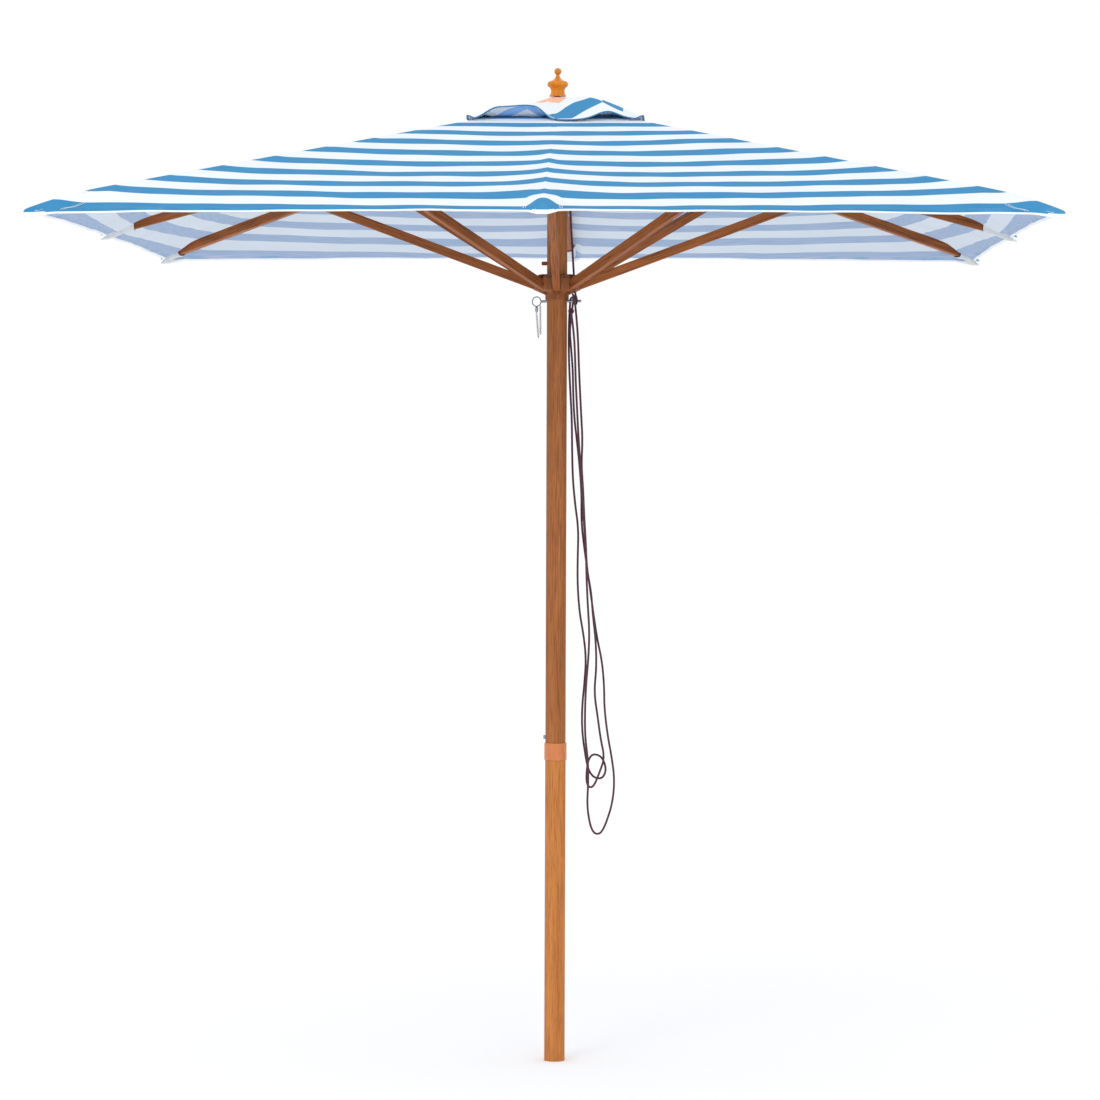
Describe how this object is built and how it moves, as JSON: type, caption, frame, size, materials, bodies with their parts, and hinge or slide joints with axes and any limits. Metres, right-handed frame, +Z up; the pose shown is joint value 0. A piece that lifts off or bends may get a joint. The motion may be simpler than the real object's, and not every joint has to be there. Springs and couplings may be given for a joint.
{
  "type": "beach umbrella",
  "caption": "Square wooden market umbrella: turned pole in two lengths, folding ribs and struts on a hub and runner, locking pin, lift cord, striped vented canopy.",
  "frame": {"origin": "centre of the flat foot of the pole", "axes": "+Z up along the pole, -Y towards the front edge of the canopy, +X to the right; the canopy's sides are square to X and Y"},
  "size_m": [2.1262, 2.1262, 2.316],
  "materials": {
    "pole_wood": "oiled stained hardwood, satin",
    "frame_wood": "oiled stained hardwood, satin",
    "finial_wood": "varnished turned hardwood, glossy",
    "steel": "zinc-plated steel",
    "ferrule_enamel": "copper-brown enamel on a metal sleeve",
    "canopy_fabric": "woven canvas striped blue and white",
    "cord_braid": "braided polyester cord, dark maroon",
    "patch_fabric": "salmon reinforcing cloth",
    "pulley_plastic": "black nylon"
  },
  "bodies": {
    "lower_pole": {"lower_pole": "pole_wood", "pole_ferrule": "ferrule_enamel"},
    "upper_pole": {"upper_pole": "pole_wood", "spigot_tube": "steel", "ferrule_screw": "steel", "stop_peg": "frame_wood", "top_hub": "frame_wood", "hub_pins": "steel", "pulley_axle": "steel", "finial_stud": "steel", "crown_washer": "patch_fabric", "crown_cloth": "canopy_fabric", "lift_cord_haul": "cord_braid", "lift_cord_short_loop": "cord_braid", "lift_cord_long_loop": "cord_braid", "cord_knots": "cord_braid"},
    "pulley": {"pulley_wheel": "pulley_plastic"},
    "finial": {"finial": "finial_wood"},
    "rib_right": {"rib_right": "frame_wood", "bracket_right": "steel", "canopy_right": "canopy_fabric"},
    "strut_right": {"strut_right": "frame_wood"},
    "rib_back": {"rib_back": "frame_wood", "bracket_back": "steel", "canopy_back": "canopy_fabric"},
    "strut_back": {"strut_back": "frame_wood"},
    "rib_left": {"rib_left": "frame_wood", "bracket_left": "steel", "canopy_left": "canopy_fabric"},
    "strut_left": {"strut_left": "frame_wood"},
    "rib_front": {"rib_front": "frame_wood", "bracket_front": "steel", "canopy_front": "canopy_fabric"},
    "strut_front": {"strut_front": "frame_wood"},
    "rib_back_right": {"rib_back_right": "frame_wood", "bracket_back_right": "steel", "canopy_back_right": "canopy_fabric", "vent_cap_back_right": "canopy_fabric"},
    "strut_back_right": {"strut_back_right": "frame_wood"},
    "rib_back_left": {"rib_back_left": "frame_wood", "bracket_back_left": "steel", "canopy_back_left": "canopy_fabric", "vent_cap_back_left": "canopy_fabric"},
    "strut_back_left": {"strut_back_left": "frame_wood"},
    "rib_front_left": {"rib_front_left": "frame_wood", "bracket_front_left": "steel", "canopy_front_left": "canopy_fabric", "vent_cap_front_left": "canopy_fabric"},
    "strut_front_left": {"strut_front_left": "frame_wood"},
    "rib_front_right": {"rib_front_right": "frame_wood", "bracket_front_right": "steel", "canopy_front_right": "canopy_fabric", "vent_cap_front_right": "canopy_fabric"},
    "strut_front_right": {"strut_front_right": "frame_wood"},
    "runner": {"runner": "frame_wood", "runner_pins": "steel"},
    "locking_pin": {"locking_pin": "steel", "pin_ring": "steel"},
    "chain": {"chain_swivel": "steel", "chain_links": "steel"}
  },
  "joints": [
    {"name": "pole_lift_out", "type": "slide", "parent": "lower_pole", "child": "upper_pole", "axis": [0, 0, 1], "range_m": [0, 0.115]},
    {"name": "pulley_spin", "type": "hinge", "parent": "upper_pole", "child": "pulley", "pos_m": [0, 0, 2.15], "axis": [0.5, 0.866, 0], "continuous": true},
    {"name": "finial_unscrew", "type": "hinge", "parent": "upper_pole", "child": "finial", "pos_m": [0, 0, 2.25], "axis": [0, 0, 1], "continuous": true},
    {"name": "canopy_fold", "type": "hinge", "parent": "upper_pole", "child": "rib_right", "pos_m": [0.042, 0, 2.214], "axis": [0, 1, 0], "range_deg": [0, 70.48], "deforming": ["canopy_right", "lift_cord_haul", "lift_cord_short_loop", "lift_cord_long_loop", "cord_knots"]},
    {"name": "strut_right_hinge", "type": "hinge", "parent": "rib_right", "child": "strut_right", "pos_m": [0.60751, 0, 2.0135], "axis": [0, -1, 0], "range_deg": [0, 141.06]},
    {"name": "rib_back_hinge", "type": "hinge", "parent": "upper_pole", "child": "rib_back", "pos_m": [0, 0.042, 2.214], "axis": [-1, 0, 0], "range_deg": [0, 70.53], "deforming": ["canopy_back"]},
    {"name": "strut_back_hinge", "type": "hinge", "parent": "rib_back", "child": "strut_back", "pos_m": [0, 0.60751, 2.0135], "axis": [1, 0, 0], "range_deg": [0, 141.06]},
    {"name": "rib_left_hinge", "type": "hinge", "parent": "upper_pole", "child": "rib_left", "pos_m": [-0.042, 0, 2.214], "axis": [0, -1, 0], "range_deg": [0, 70.53], "deforming": ["canopy_left"]},
    {"name": "strut_left_hinge", "type": "hinge", "parent": "rib_left", "child": "strut_left", "pos_m": [-0.60751, 0, 2.0135], "axis": [0, 1, 0], "range_deg": [0, 141.06]},
    {"name": "rib_front_hinge", "type": "hinge", "parent": "upper_pole", "child": "rib_front", "pos_m": [0, -0.042, 2.214], "axis": [1, 0, 0], "range_deg": [0, 70.53], "deforming": ["canopy_front"]},
    {"name": "strut_front_hinge", "type": "hinge", "parent": "rib_front", "child": "strut_front", "pos_m": [0, -0.60751, 2.0135], "axis": [-1, 0, 0], "range_deg": [0, 141.06]},
    {"name": "rib_back_right_hinge", "type": "hinge", "parent": "upper_pole", "child": "rib_back_right", "pos_m": [0.0297, 0.0297, 2.214], "axis": [-0.7071, 0.7071, 0], "range_deg": [0, 75.05], "deforming": ["canopy_back_right", "vent_cap_back_right"]},
    {"name": "strut_back_right_hinge", "type": "hinge", "parent": "rib_back_right", "child": "strut_back_right", "pos_m": [0.42821, 0.42821, 2.06299], "axis": [0.7071, -0.7071, 0], "range_deg": [0, 141.18]},
    {"name": "rib_back_left_hinge", "type": "hinge", "parent": "upper_pole", "child": "rib_back_left", "pos_m": [-0.0297, 0.0297, 2.214], "axis": [-0.7071, -0.7071, 0], "range_deg": [0, 75.05], "deforming": ["canopy_back_left", "vent_cap_back_left"]},
    {"name": "strut_back_left_hinge", "type": "hinge", "parent": "rib_back_left", "child": "strut_back_left", "pos_m": [-0.42821, 0.42821, 2.06299], "axis": [0.7071, 0.7071, 0], "range_deg": [0, 141.18]},
    {"name": "rib_front_left_hinge", "type": "hinge", "parent": "upper_pole", "child": "rib_front_left", "pos_m": [-0.0297, -0.0297, 2.214], "axis": [0.7071, -0.7071, 0], "range_deg": [0, 75.05], "deforming": ["canopy_front_left", "vent_cap_front_left"]},
    {"name": "strut_front_left_hinge", "type": "hinge", "parent": "rib_front_left", "child": "strut_front_left", "pos_m": [-0.42821, -0.42821, 2.06299], "axis": [-0.7071, 0.7071, 0], "range_deg": [0, 141.18]},
    {"name": "rib_front_right_hinge", "type": "hinge", "parent": "upper_pole", "child": "rib_front_right", "pos_m": [0.0297, -0.0297, 2.214], "axis": [0.7071, 0.7071, 0], "range_deg": [0, 75.05], "deforming": ["canopy_front_right", "vent_cap_front_right"]},
    {"name": "strut_front_right_hinge", "type": "hinge", "parent": "rib_front_right", "child": "strut_front_right", "pos_m": [0.42821, -0.42821, 2.06299], "axis": [-0.7071, -0.7071, 0], "range_deg": [0, 141.18]},
    {"name": "runner_hinge", "type": "hinge", "parent": "strut_right", "child": "runner", "pos_m": [0.042, 0, 1.813], "axis": [0, 1, 0], "range_deg": [0, 70.53]},
    {"name": "pin_pull", "type": "slide", "parent": "upper_pole", "child": "locking_pin", "axis": [-0.9239, 0.3827, 0], "range_m": [0, 0.09]},
    {"name": "chain_swing", "type": "hinge", "parent": "locking_pin", "child": "chain", "pos_m": [-0.04818, 0.01996, 1.7746], "axis": [0.3827, 0.9239, 0], "range_deg": [-12, 35], "deforming": ["chain_links"]}
  ],
  "couplings": [
    {"joint": "strut_right_hinge", "follows": "canopy_fold", "ratio": 2},
    {"joint": "rib_back_hinge", "follows": "canopy_fold", "ratio": 1},
    {"joint": "strut_back_hinge", "follows": "canopy_fold", "ratio": 2},
    {"joint": "rib_left_hinge", "follows": "canopy_fold", "ratio": 1},
    {"joint": "strut_left_hinge", "follows": "canopy_fold", "ratio": 2},
    {"joint": "rib_front_hinge", "follows": "canopy_fold", "ratio": 1},
    {"joint": "strut_front_hinge", "follows": "canopy_fold", "ratio": 2},
    {"joint": "rib_back_right_hinge", "follows": "canopy_fold", "ratio": 1.0642},
    {"joint": "strut_back_right_hinge", "follows": "canopy_fold", "ratio": 2.0017},
    {"joint": "rib_back_left_hinge", "follows": "canopy_fold", "ratio": 1.0642},
    {"joint": "strut_back_left_hinge", "follows": "canopy_fold", "ratio": 2.0017},
    {"joint": "rib_front_left_hinge", "follows": "canopy_fold", "ratio": 1.0642},
    {"joint": "strut_front_left_hinge", "follows": "canopy_fold", "ratio": 2.0017},
    {"joint": "rib_front_right_hinge", "follows": "canopy_fold", "ratio": 1.0642},
    {"joint": "strut_front_right_hinge", "follows": "canopy_fold", "ratio": 2.0017},
    {"joint": "runner_hinge", "follows": "canopy_fold", "ratio": 1}
  ]
}
